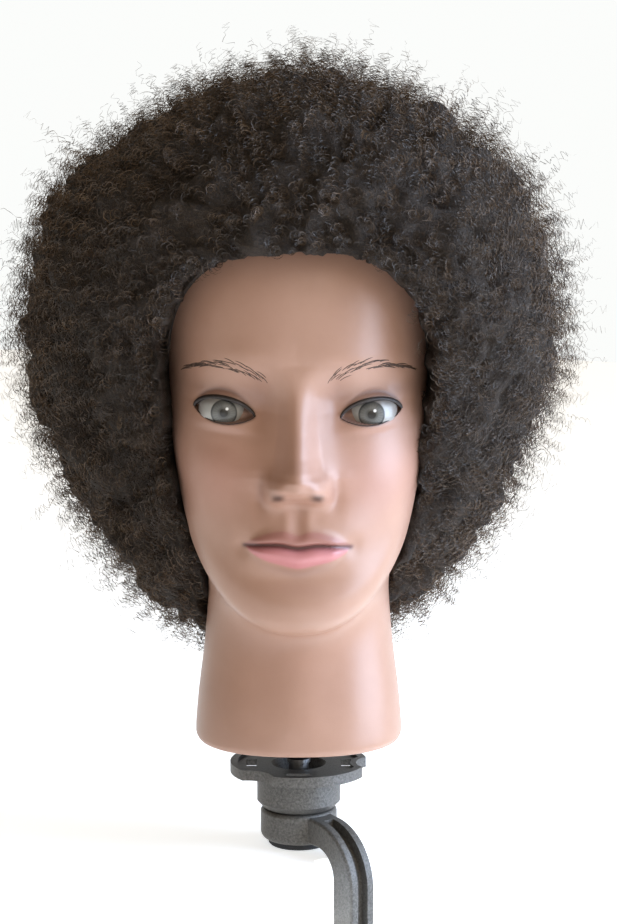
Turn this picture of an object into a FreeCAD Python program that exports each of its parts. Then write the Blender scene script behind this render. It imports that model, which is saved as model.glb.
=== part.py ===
"""Mannequin training head on a table clamp.

A vinyl head with a foam core, a rooted scalp and an afro sits on the tapered post of a
C-clamp.  The post stands on a ball that a three-lobed hand wheel locks, the clamp's
screw carries a swivelling foot, and a sliding bar turns the screw.

Row frame, millimetres: +Z up, the face looks along -Y, and the origin is the centre of
the clamp's upper pad where it rests on the table top.
"""

import FreeCAD, Part
import math
import os

from FreeCAD import Placement, Rotation, Vector

doc = FreeCAD.newDocument("training_head")
sheet = doc.addObject("Spreadsheet::Sheet", "dims")

DIMENSIONS = {
    # clamp frame
    "pad_radius": 15.5, "pad_height": 3.0, "pad_spigot": 12.0, "collar_radius": 19.5,
    "collar_top": 19.0, "spigot_radius": 15.5, "spigot_top": 33.0, "cavity_radius": 13.0,
    "cavity_floor": 10.0, "arm_width": 15.0, "arm_reach": 53.0, "arm_depth": 15.0,
    "arm_crest": 18.5, "arm_foot": -77.0, "arm_heading": -53.0, "groove_width": 6.0,
    "groove_depth": 4.5, "boss_radius": 11.5, "boss_top": -56.0, "boss_bottom": -79.0,
    "insert_radius": 7.5,
    # ball joint and post
    "ball_radius": 11.5, "ball_height": 25.0, "stem_radius": 5.0, "stem_shoulder": 6.0,
    "sleeve_foot": 44.6, "sleeve_rim": 13.5, "sleeve_top": 148.0, "post_low": 11.0,
    "post_high": 10.0, "seat_radius": 12.9, "seat_split": 28.5,
    # hand wheel
    "wheel_radius": 35.0, "cup_radius": 21.3, "cup_bottom": 19.8, "cup_shoulder": 23.0,
    "cup_bore": 15.58, "cup_ceiling": 35.2, "web_under": 38.6, "web_top": 41.8,
    "rim_under": 38.0, "rim_top": 43.2, "rim_width": 4.0, "notch_radius": 14.0,
    "notch_centre": 43.5, "window_centre": 24.2, "mouth_low": 9.8, "mouth_high": 14.0,
    # screw, foot and bar
    "screw_radius": 4.95, "foot_face": -28.0, "foot_radius": 14.0, "knuckle_height": -35.0,
    "knuckle_radius": 4.2, "hub_top": -110.0, "hub_bottom": -126.0, "hub_radius": 9.0,
    "bar_radius": 3.0, "bar_length": 78.0, "cap_radius": 5.5,
    # head
    "neck_bottom": 57.0, "neck_radius": 52.0, "neck_waist": 46.0, "jaw_height": 124.0,
    "face_half": 63.0, "face_front": 88.0, "skull_back": 98.0, "skull_top": 345.0,
    "skin": 3.0, "scalp": 1.5, "gap": 0.4, "plate_top": 61.0, "socket_radius": 15.0,
    "socket_top": 152.0, "screw_circle": 28.0, "hairline": 302.0,
    # hair
    "hair_half": 144.0, "hair_front": 118.0, "hair_back": 142.0, "hair_top": 398.0,
    "hair_bottom": 104.0,
}


class Size:
    """A number from the sheet with the expression that gives it."""

    def __init__(self, value, text):
        self.value = float(value)
        self.text = text

    def joined(self, other, sign, value):
        text = other.text if isinstance(other, Size) else repr(other)
        return Size(value, f"({self.text} {sign} {text})")

    def __add__(self, other):
        return self.joined(other, "+", self.value + number(other))

    def __sub__(self, other):
        return self.joined(other, "-", self.value - number(other))

    def __mul__(self, other):
        return self.joined(other, "*", self.value * number(other))

    def __truediv__(self, other):
        return self.joined(other, "/", self.value / number(other))


def number(size):
    return size.value if isinstance(size, Size) else float(size)


def text(size):
    return size.text if isinstance(size, Size) else repr(float(size))


def cell(alias):
    return Size(DIMENSIONS[alias], "dims." + alias)


def fill_sheet():
    for row, (alias, value) in enumerate(DIMENSIONS.items(), start=1):
        sheet.set(f"A{row}", alias)
        sheet.set(f"B{row}", str(value))
        sheet.setAlias(f"B{row}", alias)
    doc.recompute()


def bind(obj, **sizes):
    """Binds each property of obj to its size's expression."""
    for name, size in sizes.items():
        setattr(obj, name, number(size))
        obj.setExpression(name, text(size))


PLACES = {}


def put(obj, x=0.0, y=0.0, z=0.0, rotation=None):
    """Places obj, with the place bound to the sheet."""
    place = Vector(number(x), number(y), number(z))
    obj.Placement = Placement(place, rotation or Rotation())
    PLACES[obj.Name] = (x, y, z)
    for axis, size in zip("xyz", (x, y, z)):
        if isinstance(size, Size):
            obj.setExpression("Placement.Base." + axis, text(size))
    return obj


def cylinder(name, radius, low, high, x=0.0, y=0.0):
    tube = doc.addObject("Part::Cylinder", name)
    low = low if isinstance(low, Size) else Size(low, repr(float(low)))
    height = (high if isinstance(high, Size) else Size(high, repr(float(high)))) - low
    bind(tube, Radius=radius, Height=height)
    return put(tube, x, y, low)


def cone(name, low_radius, high_radius, low, high):
    taper = doc.addObject("Part::Cone", name)
    bind(taper, Radius1=low_radius, Radius2=high_radius, Height=high - low)
    return put(taper, z=low)


def ball(name, radius, height):
    sphere = doc.addObject("Part::Sphere", name)
    bind(sphere, Radius=radius)
    return put(sphere, z=height)


def block(name, length, width, height, x, y, z):
    brick = doc.addObject("Part::Box", name)
    bind(brick, Length=length, Width=width, Height=height)
    return put(brick, x, y, z)


def cut(name, base, tool):
    result = doc.addObject("Part::Cut", name)
    result.Base, result.Tool = base, tool
    return result


def fuse(name, pieces):
    result = doc.addObject("Part::MultiFuse", name)
    result.Shapes = pieces
    return result


def common(name, pieces):
    result = doc.addObject("Part::MultiCommon", name)
    result.Shapes = pieces
    return result


def turned(obj, degrees):
    """Turns obj about the row's Z axis, after its own placement."""
    x, y, z = PLACES.get(obj.Name, (0.0, 0.0, 0.0))
    angle = math.radians(degrees)
    cosine, sine = round(math.cos(angle), 6), round(math.sin(angle), 6)
    x, y = [value if isinstance(value, Size) else Size(value, repr(value)) for value in (x, y)]
    spin = Rotation(Vector(0, 0, 1), degrees)
    rotation = spin.multiply(obj.Placement.Rotation)
    return put(obj, x * cosine - y * sine, x * sine + y * cosine, z, rotation)


def ring_of(name, make, count, first=0.0):
    """count copies of make(i), spaced evenly about Z from the angle first, as one fuse."""
    step = 360.0 / count
    return fuse(name, [turned(make(i), first + i * step) for i in range(count)])


def plane_of(body, role):
    return next(f for f in body.Origin.OriginFeatures if f.Role == role)


def outline_sketch(body, name, points):
    """A closed outline on the body's XZ plane, each corner held by two bound distances."""
    import Sketcher

    sketch = body.newObject("Sketcher::SketchObject", name)
    sketch.AttachmentSupport = [(plane_of(body, "XZ_Plane"), "")]
    sketch.MapMode = "FlatFace"
    corners = [Vector(number(u), number(v), 0) for u, v in points]
    for i, corner in enumerate(corners):
        sketch.addGeometry(Part.LineSegment(corner, corners[(i + 1) % len(corners)]))
    for i in range(len(corners)):
        follower = (i + 1) % len(corners)
        sketch.addConstraint(Sketcher.Constraint("Coincident", i, 2, follower, 1))
    for i, (u, v) in enumerate(points):
        for kind, size in (("DistanceX", u), ("DistanceY", v)):
            if abs(number(size)) < 1e-9:
                spot = "Y" if kind == "DistanceX" else "X"
                rule = Sketcher.Constraint("PointOnObject", i, 1, -2 if spot == "Y" else -1)
                sketch.addConstraint(rule)
                continue
            index = sketch.addConstraint(Sketcher.Constraint(kind, -1, 1, i, 1, number(size)))
            sketch.setExpression(f"Constraints[{index}]", text(size))
    return sketch


def spun(name, points):
    """A body turned about Z from a half section of (radius, height) corners."""
    body = doc.addObject("PartDesign::Body", name)
    sketch = outline_sketch(body, name + "_section", points)
    turn = body.newObject("PartDesign::Revolution", name + "_turn")
    turn.Profile = sketch
    turn.ReferenceAxis = (sketch, ["V_Axis"])
    turn.Angle = 360.0
    doc.recompute()
    return body


def slab(name, points, width):
    """A body padded both ways from an outline on the XZ plane."""
    body = doc.addObject("PartDesign::Body", name)
    sketch = outline_sketch(body, name + "_outline", points)
    pad = body.newObject("PartDesign::Pad", name + "_pad")
    pad.Profile = sketch
    pad.Midplane = True
    bind(pad, Length=width)
    doc.recompute()
    return body


def rounded(body, name, radius, wanted):
    """Fillets the edges of the body's tip that wanted picks."""
    base = body.Tip
    edges = [f"Edge{i}" for i, e in enumerate(base.Shape.Edges, start=1) if wanted(e)]
    fillet = body.newObject("PartDesign::Fillet", name)
    fillet.Base = (base, edges)
    bind(fillet, Radius=radius)
    body.Tip = fillet
    doc.recompute()
    return body


def rim_at(radius, height):
    """Picks the circular edge of that radius and height."""

    def wanted(edge):
        curve = edge.Curve
        return (
            isinstance(curve, Part.Circle)
            and abs(curve.Radius - number(radius)) < 1e-4
            and abs(curve.Center.z - number(height)) < 1e-4
        )

    return wanted


def corner_at(x, z):
    """Picks the straight cross-wise edge through that corner of a slab."""

    def wanted(edge):
        box = edge.BoundBox
        return (
            box.YLength > 1.0
            and abs(box.XMin - number(x)) + abs(box.XMax - number(x)) < 1e-3
            and abs(box.ZMin - number(z)) + abs(box.ZMax - number(z)) < 1e-3
        )

    return wanted


# ---------------------------------------------------------------- clamp frame
def collar():
    """Collar and threaded spigot of the frame, turned."""
    radius, top = cell("collar_radius"), cell("collar_top")
    low, spigot = cell("pad_height"), cell("spigot_radius")
    body = spun("collar", [
        (0.0, low), (radius, low), (radius, top), (spigot, top),
        (spigot, cell("spigot_top")), (cell("cavity_radius"), cell("spigot_top")),
        (cell("cavity_radius"), cell("cavity_floor")), (0.0, cell("cavity_floor")),
    ])
    rounded(body, "collar_lower_round", 4.0, rim_at(radius, low))
    return rounded(body, "collar_upper_round", 2.0, rim_at(radius, top))


def arm_solid():
    """C-shaped arm with its long outer channel."""
    root, reach, crest = 12.0, cell("arm_reach"), cell("arm_crest")
    inner, foot = reach - cell("arm_depth"), cell("arm_foot")
    jaw_low, jaw_high = cell("boss_top") - 2.0, cell("pad_height") + 1.5
    arm = slab("arm", [
        (root, crest), (reach, crest - 3.0), (reach, foot), (root - 8.0, foot),
        (root - 8.0, jaw_low), (inner, jaw_low), (inner, jaw_high), (root, jaw_high),
    ], cell("arm_width"))
    rounded(arm, "arm_shoulder", 30.0, corner_at(reach, crest - 3.0))
    rounded(arm, "arm_elbow", 24.0, corner_at(reach, foot))
    rounded(arm, "arm_throat_high", 14.0, corner_at(inner, jaw_high))
    rounded(arm, "arm_throat_low", 12.0, corner_at(inner, jaw_low))
    half = cell("arm_width").value / 2

    def long_edges(edge):
        box = edge.BoundBox
        return box.YLength < 1e-6 and abs(abs(box.YMin) - half) < 1e-6 and box.XMax > root + 1

    rounded(arm, "arm_edges", 1.6, long_edges)
    return arm


def channel():
    """The tool for the channel along the outside of the arm."""
    depth, width = cell("groove_depth"), cell("groove_width")
    reach, crest, foot = cell("arm_reach"), cell("arm_crest"), cell("arm_foot")
    bed = slab("channel_bed", [
        (0.0, crest - depth), (reach - depth, crest - 3.0 - depth),
        (reach - depth, foot + depth), (0.0, foot + depth),
    ], width * 3)
    rounded(bed, "bed_shoulder", 25.5, corner_at(reach - depth, crest - 3.0 - depth))
    rounded(bed, "bed_elbow", 19.5, corner_at(reach - depth, foot + depth))
    stock = block("channel_stock", reach, width, crest - foot + 10.0, 25.0, width * -0.5, foot - 5.0)
    return cut("channel", stock, bed)


def clamp_frame():
    """Collar, arm and screw boss in one casting."""
    arm = turned(cut("channelled_arm", arm_solid(), channel()), cell("arm_heading").value)
    boss = cylinder("boss", cell("boss_radius"), cell("boss_bottom"), cell("boss_top"))
    casting = fuse("casting", [collar(), arm, boss])
    recess = cylinder("pad_recess", cell("pad_spigot") + 0.05, 0.0, cell("pad_height") + 2.0)
    seat = cylinder("insert_seat", cell("insert_radius") + 0.02, cell("boss_bottom") - 1.0,
                    cell("boss_top") + 1.0)
    cavity = cylinder("cavity", cell("cavity_radius"), cell("cavity_floor"),
                      cell("spigot_top") + 1.0)
    return cut("clamp_frame", casting, fuse("frame_hollows", [recess, seat, cavity]))


def table_pad():
    height = cell("pad_height")
    return spun("table_pad", [
        (0.0, 0.0), (cell("pad_radius") - 0.8, 0.0), (cell("pad_radius"), 0.8),
        (cell("pad_radius"), height), (cell("pad_spigot"), height),
        (cell("pad_spigot"), height + 1.9), (0.0, height + 1.9),
    ])


def thread_insert():
    low, high = cell("boss_bottom"), cell("boss_top")
    stock = cylinder("insert_stock", cell("insert_radius"), low, high)
    bore = cylinder("insert_bore", cell("screw_radius") + 0.05, low - 1.0, high + 1.0)
    return cut("thread_insert", stock, bore)


# ---------------------------------------------------------------- ball joint
def wave_spring():
    floor = cell("cavity_floor")
    stock = cylinder("spring_stock", 12.0, floor + 0.1, floor + 1.4)
    return cut("wave_spring", stock, cylinder("spring_eye", 8.0, floor - 1.0, floor + 3.0))


def lower_seat():
    stock = cylinder("lower_seat_stock", cell("seat_radius"), cell("cavity_floor") + 1.4,
                     cell("ball_height") - 3.5)
    return cut("lower_ball_seat", stock, ball("lower_seat_cup", cell("ball_radius") + 0.05,
                                              cell("ball_height")))


def upper_seat():
    top = cell("cup_ceiling") - 0.1
    stock = cylinder("upper_seat_stock", cell("seat_radius"), cell("seat_split"), top)
    cup = ball("upper_seat_cup", cell("ball_radius") + 0.05, cell("ball_height"))
    eye = cylinder("upper_seat_eye", 9.6, cell("seat_split"), top + 1.0)
    return cut("upper_ball_seat", stock, fuse("upper_seat_hollow", [cup, eye]))


def ball_stud():
    """Ball and steel stem in one, with a tapped hole in its end."""
    foot, top = cell("sleeve_foot") - 0.1, cell("sleeve_top") + 0.1
    core = fuse("stud_core", [
        ball("stud_ball", cell("ball_radius"), cell("ball_height")),
        cylinder("stud_stem", cell("stem_radius"), cell("ball_height"), top),
        cylinder("stud_shoulder", cell("stem_shoulder"), foot - 2.0, foot),
    ])
    return cut("ball_stud", core, cylinder("stud_hole", 2.0, top - 13.0, top + 1.0))


def post_sleeve():
    """Tapered plastic sleeve that turns on the stem and carries the head on its rim."""
    bore, foot, top = cell("stem_radius") + 0.06, cell("sleeve_foot"), cell("sleeve_top")
    rim, seat = cell("sleeve_rim"), cell("neck_bottom") - 0.1
    return spun("post_sleeve", [
        (bore, foot), (6.2, foot), (9.0, foot + 2.3), (11.7, foot + 4.0), (11.9, foot + 7.0),
        (rim, foot + 9.0), (rim, seat), (cell("post_low"), seat), (cell("post_high"), top - 2.0),
        (cell("post_high") - 1.5, top), (bore, top),
    ])


def post_washer():
    low = cell("sleeve_top") + 0.1
    stock = cylinder("washer_stock", 8.0, low, low + 1.2)
    return cut("post_washer", stock, cylinder("washer_eye", 2.2, low - 1.0, low + 2.0))


def post_screw():
    seat = cell("sleeve_top") + 1.3
    return spun("post_screw", [
        (0.0, seat - 12.0), (1.95, seat - 12.0), (1.95, seat), (3.6, seat), (3.6, seat + 1.4),
        (2.8, seat + 2.3), (1.6, seat + 2.3), (1.6, seat + 1.0), (0.0, seat + 1.0),
    ])


# ---------------------------------------------------------------- hand wheel
def wheel():
    """Cup that screws on the spigot, under a three-lobed disc with four windows."""
    outer, width = cell("wheel_radius"), cell("rim_width")
    under, top = cell("rim_under"), cell("rim_top")
    disc = cylinder("wheel_disc", outer - width / 2, cell("web_under"), cell("web_top"))
    cup = spun("wheel_cup", [
        (cell("cup_bore"), cell("cup_bottom")), (cell("cup_radius") - 3.0, cell("cup_bottom")),
        (cell("cup_radius"), cell("cup_shoulder")), (cell("cup_radius"), cell("web_top") - 1.0),
        (cell("mouth_high") - 1.0, cell("web_top") - 1.0), (cell("mouth_low") - 1.0, cell("cup_ceiling")),
        (cell("cup_bore"), cell("cup_ceiling")),
    ])
    stock = cylinder("rim_stock", outer, under, top)
    rim = cut("rim_ring", stock, cylinder("rim_eye", outer - width, under - 1.0, top + 1.0))
    reach = cell("notch_centre")
    lips = ring_of("notch_lips", lambda i: cylinder(
        f"lip{i}", cell("notch_radius") + width * 0.75, under, top, x=reach), 3, NOTCH_HEADING)
    lip_ring = common("lip_ring", [lips, cylinder("lip_limit", outer, under - 1.0, top + 1.0)])
    ribs = ring_of("wheel_ribs", lambda i: block(
        f"rib{i}", 4.2, 2.6, cell("web_under") - 34.2, cell("cup_radius") - 1.0, -1.3, 34.4), 3,
        NOTCH_HEADING + 60.0)
    solid = fuse("wheel_solid", [disc, cup, rim, lip_ring, ribs])
    notches = ring_of("notches", lambda i: cylinder(
        f"notch{i}", cell("notch_radius"), under - 1.0, top + 1.0, x=reach), 3, NOTCH_HEADING)
    windows = ring_of("windows", lambda i: block(
        f"window{i}", 5.4, 12.5, 8.0, cell("window_centre") - 2.7, -6.25, cell("web_under") - 4.0),
        4, -90.0)
    mouth = cone("wheel_mouth", cell("mouth_low") - 0.7, cell("mouth_high") + 0.7,
                 cell("cup_ceiling") - 1.0, cell("web_top") + 1.0)
    return cut("locking_wheel", solid, fuse("wheel_hollows", [notches, windows, mouth]))


# ---------------------------------------------------------------- screw and foot
def pressure_foot():
    """Steel foot, crimped round the screw's knuckle."""
    face, knuckle = cell("foot_face"), cell("knuckle_height")
    stock = spun("foot_stock", [
        (0.0, knuckle - 4.4), (9.0, knuckle - 4.4), (cell("foot_radius"), face - 4.0),
        (cell("foot_radius"), face - 2.0), (0.0, face - 2.0),
    ])
    socket = ball("foot_socket", cell("knuckle_radius") + 0.1, knuckle)
    mouth = cylinder("foot_mouth", 6.9, knuckle - 5.0, knuckle - 1.8)
    return cut("pressure_foot", stock, fuse("foot_hollow", [socket, mouth]))


def foot_pad():
    face, radius = cell("foot_face"), cell("foot_radius")
    return spun("foot_pad", [
        (0.0, face - 2.0), (radius, face - 2.0), (radius, face - 0.7), (radius - 0.7, face),
        (0.0, face),
    ])


def foot_clip():
    """Spring clip in the groove under the knuckle, inside the foot's mouth."""
    low = cell("knuckle_height") - 4.0
    stock = cylinder("clip_stock", 5.6, low, low + 0.9)
    return cut("foot_clip", stock, cylinder("clip_eye", 2.85, low - 1.0, low + 2.0))


def clamp_screw():
    knuckle, radius = cell("knuckle_height"), cell("screw_radius")
    shank = spun("screw_shank", [
        (0.0, cell("hub_bottom") + 3.0), (radius, cell("hub_bottom") + 3.0),
        (radius, knuckle - 6.5), (radius - 0.9, knuckle - 5.4), (2.75, knuckle - 5.4),
        (2.75, knuckle - 2.0), (0.0, knuckle - 2.0),
    ])
    solid = fuse("screw_solid", [shank, ball("screw_knuckle", cell("knuckle_radius"), knuckle)])
    pin_seat = cross_pin("screw_pin_seat", 1.22, cell("hub_radius"))
    return cut("clamp_screw", solid, fuse("screw_hollow", [bar_hole("screw_bar_hole"), pin_seat]))


def bar_hole(name):
    """Cross hole for the bar, along X through the middle of the hub."""
    reach = cell("hub_radius") + 5.0
    return across_bar(name, cell("bar_radius") + 0.06, reach * -1, reach)


def screw_hub():
    top, low, radius = cell("hub_top"), cell("hub_bottom"), cell("hub_radius")
    stock = spun("hub_stock", [
        (cell("screw_radius") + 0.02, low + 3.0), (0.0, low + 3.0), (0.0, low),
        (radius - 1.5, low), (radius, low + 1.5), (radius, top - 3.0), (radius - 2.5, top),
        (cell("screw_radius") + 0.02, top),
    ])
    pin_seat = cross_pin("hub_pin_seat", 1.22, radius + 4.0)
    return cut("screw_hub", stock, fuse("hub_hollow", [bar_hole("hub_bar_hole"), pin_seat]))


def cross_pin(name, radius, reach):
    """A cylinder along Y through the upper part of the hub."""
    pin = doc.addObject("Part::Cylinder", name)
    pin.Radius = radius
    bind(pin, Height=reach * 2)
    return put(pin, y=reach, z=cell("hub_top") - 3.6, rotation=Rotation(Vector(1, 0, 0), 90))


def across_bar(name, radius, start, end):
    """A cylinder along the bar's own axis."""
    middle = (cell("hub_top") + cell("hub_bottom")) / 2
    rod = doc.addObject("Part::Cylinder", name)
    bind(rod, Radius=radius, Height=end - start)
    return put(rod, x=start, z=middle, rotation=Rotation(Vector(0, 1, 0), 90))


def tommy_bar():
    half = cell("bar_length") / 2
    return across_bar("tommy_bar", cell("bar_radius"), half * -1, half)


def bar_cap(name, side):
    """A ball-ended cap on one end of the bar."""
    half, radius = cell("bar_length") / 2, cell("cap_radius")
    middle = (cell("hub_top") + cell("hub_bottom")) / 2
    knob = doc.addObject("Part::Sphere", name + "_knob")
    bind(knob, Radius=radius)
    put(knob, x=half * side, z=middle)
    inner = half * side - side * 7.0
    ends = (inner, half * side) if side > 0 else (half * side, inner)
    stock = fuse(name + "_stock", [knob, across_bar(name + "_skirt", radius - 0.6, *ends)])
    reach = (inner - 9.0, half) if side > 0 else (half * -1, inner + 9.0)
    return cut(name, stock, across_bar(name + "_bore", cell("bar_radius") + 0.02, *reach))


# ---------------------------------------------------------------- head
HEAD_LEVELS = [
    # share of the height from chin to crown, then half width, front and back as shares
    (0.000, 0.20, 0.860, -0.40), (0.030, 0.36, 0.905, -0.15), (0.070, 0.54, 0.930, 0.02),
    (0.110, 0.69, 0.945, 0.16), (0.160, 0.81, 0.960, 0.34), (0.230, 0.90, 0.965, 0.60),
    (0.300, 0.95, 0.955, 0.78), (0.390, 0.985, 0.945, 0.90), (0.480, 1.00, 0.950, 0.96),
    (0.580, 1.05, 0.985, 1.00), (0.690, 1.10, 1.000, 0.99), (0.800, 1.06, 0.960, 0.92),
    (0.890, 0.88, 0.800, 0.78), (0.950, 0.64, 0.590, 0.57), (0.985, 0.36, 0.340, 0.32),
    (1.000, 0.12, 0.120, 0.10),
]
NECK_LEVELS = [
    # share of the height from the base to the skull, then width, front and back as shares
    (0.00, 1.000, 1.00, 1.000), (0.15, 0.985, 0.98, 0.985), (0.35, 0.930, 0.92, 0.950),
    (0.60, 0.885, 0.87, 0.930), (0.80, 0.870, 0.80, 0.900), (1.00, 0.860, 0.72, 0.840),
]
SECTION_POINTS = 24
NOTCH_HEADING = -127.0


def ring_wire(height, half, front, back, seam=0.0, squareness=1.0):
    """A smooth closed section with its own front and back reach, its seam turned from +Y."""
    middle, depth = (back - front) / 2, (back + front) / 2
    points = []
    for i in range(SECTION_POINTS):
        angle = 2 * math.pi * i / SECTION_POINTS + math.radians(seam)
        side, ahead = math.sin(angle), math.cos(angle)
        side = math.copysign(abs(side) ** squareness, side)
        ahead = math.copysign(abs(ahead) ** squareness, ahead)
        points.append(Vector(half * side, middle + depth * ahead, height))
    curve = Part.BSplineCurve()
    curve.interpolate(points, PeriodicFlag=True)
    return Part.Wire(curve.toShape())


def head_form(grow):
    """The head's outer form, swollen by grow: a lofted skull and jaw on a lofted neck."""
    chin, crown = cell("jaw_height").value - grow, cell("skull_top").value + grow
    half, front, back = (cell(n).value for n in ("face_half", "face_front", "skull_back"))
    skull = Part.makeLoft([
        ring_wire(chin + share * (crown - chin), half * w + grow, front * f + grow,
                  back * b + grow, 60, 0.9)
        for share, w, f, b in HEAD_LEVELS
    ], True)
    base, radius = cell("neck_bottom").value, cell("neck_radius").value
    rise = cell("jaw_height").value + 46.0 - base
    neck = Part.makeLoft([
        ring_wire(base + share * rise, radius * w + grow, radius * f + grow, radius * b + grow, 150)
        for share, w, f, b in NECK_LEVELS
    ], True)
    rim = [edge for edge in neck.Edges if edge.BoundBox.ZMax < base + 0.1]
    return skull.fuse(neck.makeFillet(4.0, rim))


def egg(width, depth, height, x, y, z, lean=0.0):
    """An ellipsoid by its three half sizes and its centre, leaning about X."""
    matrix = FreeCAD.Matrix()
    matrix.rotateZ(math.pi if x < 0 else 0.0)
    matrix.scale(width, depth, height)
    matrix.rotateX(math.radians(lean))
    matrix.move(Vector(x, y, z))
    return Part.makeSphere(1.0).transformGeometry(matrix)


def both_sides(*sizes):
    """The same egg on the left and on the right; x is the fourth size."""
    mirrored = list(sizes)
    mirrored[3] = -sizes[3]
    return [egg(*sizes), egg(*mirrored)]


def face_marks():
    """Forms that stand out of the face, and the hollows of the eye sockets."""
    front, chin = -cell("face_front").value, cell("jaw_height").value
    bridge = egg(7.5, 12.0, 30.0, 0, front + 5.0, chin + 90, -16)
    tip = egg(9.0, 12.0, 9.0, 0, front - 7.5, chin + 72)
    nose = [bridge, tip] + both_sides(6.5, 9.0, 6.5, 9.0, front + 0.5, chin + 70)
    upper_lip = egg(24.0, 7.5, 4.2, 0, front + 5.5, chin + 46)
    lips = [upper_lip, egg(20.0, 7.5, 5.2, 0, front + 5.0, chin + 38)]
    balls = both_sides(14.0, 13.0, 11.0, 33.5, front + 22.5, chin + 105)
    sockets = both_sides(18.0, 9.0, 10.0, 34.0, front + 3.5, chin + 106)
    return nose + lips + balls, sockets


def ears():
    half, chin, crown = (cell(n).value for n in ("face_half", "jaw_height", "skull_top"))
    return both_sides(7.0, 17.0, 30.0, half + 3.0, 12.0, chin + 0.41 * (crown - chin))


def above(height, slope):
    """A big block behind and above a plane that drops towards the nape."""
    stock = Part.makeBox(400, 400, 400, Vector(-200, -200, 0))
    stock.Placement = Placement(Vector(0, -cell("face_front").value, height),
                                Rotation(Vector(1, 0, 0), slope)).multiply(stock.Placement)
    return stock


def head_parts():
    """Skin, scalp, core and hair, each from the same form at its own offset."""
    skin, scalp, gap = cell("skin").value, cell("scalp").value, cell("gap").value
    base, plate = cell("neck_bottom").value, cell("plate_top").value
    outer = head_form(0.0)
    inner = head_form(-skin)
    floor = Part.makeCylinder(cell("neck_radius").value - 5.5, plate - base + 1.0,
                              Vector(0, 0, base - 0.5))
    marks, sockets = face_marks()
    face = outer
    for socket in sockets:
        face = face.cut(socket)
    for mark in marks + ears():
        face = face.fuse(mark)
    shell = face.cut(inner).cut(floor)
    core = head_form(-skin - gap)
    front = -cell("face_front").value
    for hollow in both_sides(27.0, 20.0, 18.0, 27.0, front + 1.0, cell("jaw_height").value + 108):
        core = core.cut(hollow)
    core = core.cut(Part.makeBox(300, 300, plate + gap - base + 40, Vector(-150, -150, base - 40)))
    core = core.cut(Part.makeCylinder(cell("socket_radius").value + 0.1,
                                      cell("socket_top").value + 4.05 - base,
                                      Vector(0, 0, base)))
    for index in range(3):
        angle = math.radians(30.0 + 120.0 * index)
        reach = cell("screw_circle").value
        spot = Vector(reach * math.cos(angle), reach * math.sin(angle), base)
        core = core.cut(Part.makeCylinder(2.02, 18.2, spot))
    cap_zone = above(cell("hairline").value + 9.0, -47.0)
    cap = head_form(scalp + 0.05).cut(head_form(0.05)).common(cap_zone)
    for ear in ears():
        cap = cap.cut(swollen(ear))
    cap = max(cap.Solids, key=lambda solid: solid.Volume)
    return shell, cap, core


def hair_form():
    """The afro: an ellipsoid-like mass with the face, neck and head left out."""
    half, front, back = (cell(n).value for n in ("hair_half", "hair_front", "hair_back"))
    top, low = cell("hair_top").value, cell("hair_bottom").value
    tall = top - low
    levels = [(0.00, 0.50, -0.15, 0.62), (0.04, 0.59, -0.05, 0.74), (0.12, 0.69, 0.08, 0.84),
              (0.26, 0.84, 0.30, 0.94), (0.42, 0.975, 0.62, 1.00), (0.54, 1.00, 0.86, 1.00),
              (0.68, 0.955, 1.00, 0.94), (0.77, 0.87, 0.97, 0.86), (0.85, 0.74, 0.85, 0.74),
              (0.925, 0.53, 0.62, 0.54), (0.975, 0.32, 0.38, 0.33), (1.0, 0.14, 0.16, 0.14)]
    mass = Part.makeLoft([
        ring_wire(low + share * tall, half * w, front * f, back * b) for share, w, f, b in levels
    ], True)
    mass = mass.cut(head_form(cell("scalp").value + 0.4))
    for ear in ears():
        mass = mass.cut(swollen(ear))
    return mass.cut(face_window())


def swollen(feature):
    """The feature a little larger about its own centre."""
    box = feature.BoundBox
    matrix = FreeCAD.Matrix()
    matrix.move(box.Center * -1)
    matrix.scale(1.06, 1.06, 1.06)
    matrix.move(box.Center)
    return feature.transformGeometry(matrix)


def face_window():
    """A tall rounded prism along Y that keeps the face clear of hair."""
    half, line = cell("face_half").value, cell("hairline").value
    low = cell("neck_bottom").value
    wide = half + 2.0
    arch = Part.makeCylinder(wide, 300, Vector(0, -18, line - wide), Vector(0, -1, 0))
    post = Part.makeBox(2 * wide, 300, line - wide - low, Vector(-wide, -318, low))
    return arch.fuse(post)


def neck_plate():
    low, top = cell("neck_bottom"), cell("plate_top")
    stock = cylinder("plate_stock", cell("neck_radius") - 5.6, low, top)
    holes = ring_of("plate_holes", lambda i: cylinder(f"plate_hole{i}", 2.05, low - 1.0, top + 1.0,
                                                      x=cell("screw_circle")), 3, 30.0)
    eye = cylinder("plate_eye", cell("socket_radius") + 0.1, low - 1.0, top + 1.0)
    return cut("neck_plate", stock, fuse("plate_hollows", [holes, eye]))


def neck_socket():
    """Tapered tube that takes the post, with a closed end."""
    low, top, radius = cell("neck_bottom"), cell("socket_top"), cell("socket_radius")
    slack = 0.08
    end = cell("sleeve_top")
    return spun("neck_socket", [
        (cell("post_low") + slack, low), (radius, low), (radius, top + 4.0), (0.0, top + 4.0),
        (0.0, top + 1.0), (cell("post_high") + slack, top + 1.0),
        (cell("post_high") + slack, end - 2.0),
    ])


def plate_screw(index):
    """One of three screws up through the plate into the foam."""
    low = cell("neck_bottom")
    screw = spun(f"plate_screw_{index + 1}", [
        (0.0, low - 1.6), (3.4, low - 1.6), (3.9, low), (2.0, low),
        (2.0, low + 15.0), (0.0, low + 18.0),
    ])
    return turned(put(screw, x=cell("screw_circle")), 30.0 + 120.0 * index)


def held(name, shape):
    """A plain feature for a lofted shape."""
    feature = doc.addObject("Part::Feature", name)
    feature.Shape = shape
    return feature


def hub_pin():
    return cross_pin("hub_pin", 1.2, cell("hub_radius") - 0.5)


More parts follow.
